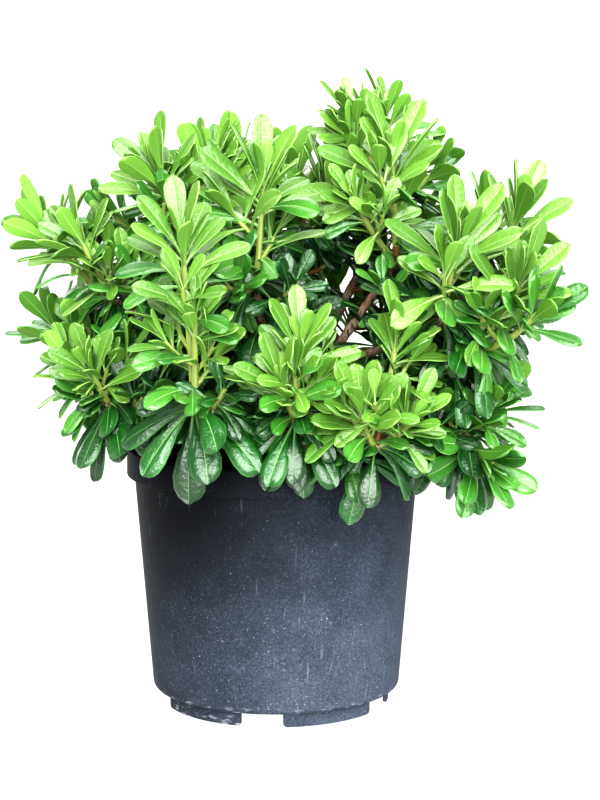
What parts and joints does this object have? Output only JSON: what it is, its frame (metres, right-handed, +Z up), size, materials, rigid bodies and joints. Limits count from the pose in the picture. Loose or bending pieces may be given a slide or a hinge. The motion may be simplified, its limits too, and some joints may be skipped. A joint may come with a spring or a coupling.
{
  "type": "potted dwarf japanese pittosporum",
  "caption": "Bushy evergreen shrub with whorls of spoon-shaped leaves on branching stems, in a round black nursery pot that stands on a ring of short feet.",
  "frame": {"origin": "on the floor, on the pot's own axis, under the middle of the whole plant", "axes": "+Z up, -Y towards the side that the picture shows, +X to the right in the picture"},
  "size_m": [0.5428, 0.4617, 0.5923],
  "materials": {
    "pot": "satin charcoal plastic with dust and fine scratches",
    "potting_mix": "crumbly dark potting mix",
    "bark": "rough grey-brown bark",
    "foliage": "glossy green leaves on pale green twigs"
  },
  "bodies": {
    "root": {"pot": "pot", "soil": "potting_mix", "trunk": "bark", "bough_front_left": "bark", "bough_left": "bark", "bough_middle": "bark", "bough_crest": "bark", "bough_far_right": "bark", "bough_front_right": "bark", "bough_top_left": "bark", "bough_top_back": "bark", "bough_high_right": "bark", "bough_left_low": "bark", "bough_right": "bark", "bough_front": "bark", "bough_low_right": "bark", "bough_low_left": "bark", "bough_back_low_1": "bark", "bough_back_low_2": "bark", "bough_back_low_3": "bark", "bough_back_low_4": "bark", "bough_back_mid_1": "bark", "bough_back_mid_2": "bark", "bough_back_mid_3": "bark", "bough_back_high_1": "bark", "bough_back_high_2": "bark", "mass_front_left": "foliage", "mass_left": "foliage", "mass_middle": "foliage", "mass_crest": "foliage", "mass_far_right": "foliage", "mass_front_right": "foliage", "mass_top_left": "foliage", "mass_top_back": "foliage", "mass_high_right": "foliage", "mass_left_low": "foliage", "mass_right": "foliage", "mass_front": "foliage", "mass_low_right": "foliage", "mass_low_left": "foliage", "mass_back_low_1": "foliage", "mass_back_low_2": "foliage", "mass_back_low_3": "foliage", "mass_back_low_4": "foliage", "mass_back_mid_1": "foliage", "mass_back_mid_2": "foliage", "mass_back_mid_3": "foliage", "mass_back_high_1": "foliage", "mass_back_high_2": "foliage"}
  },
  "joints": []
}
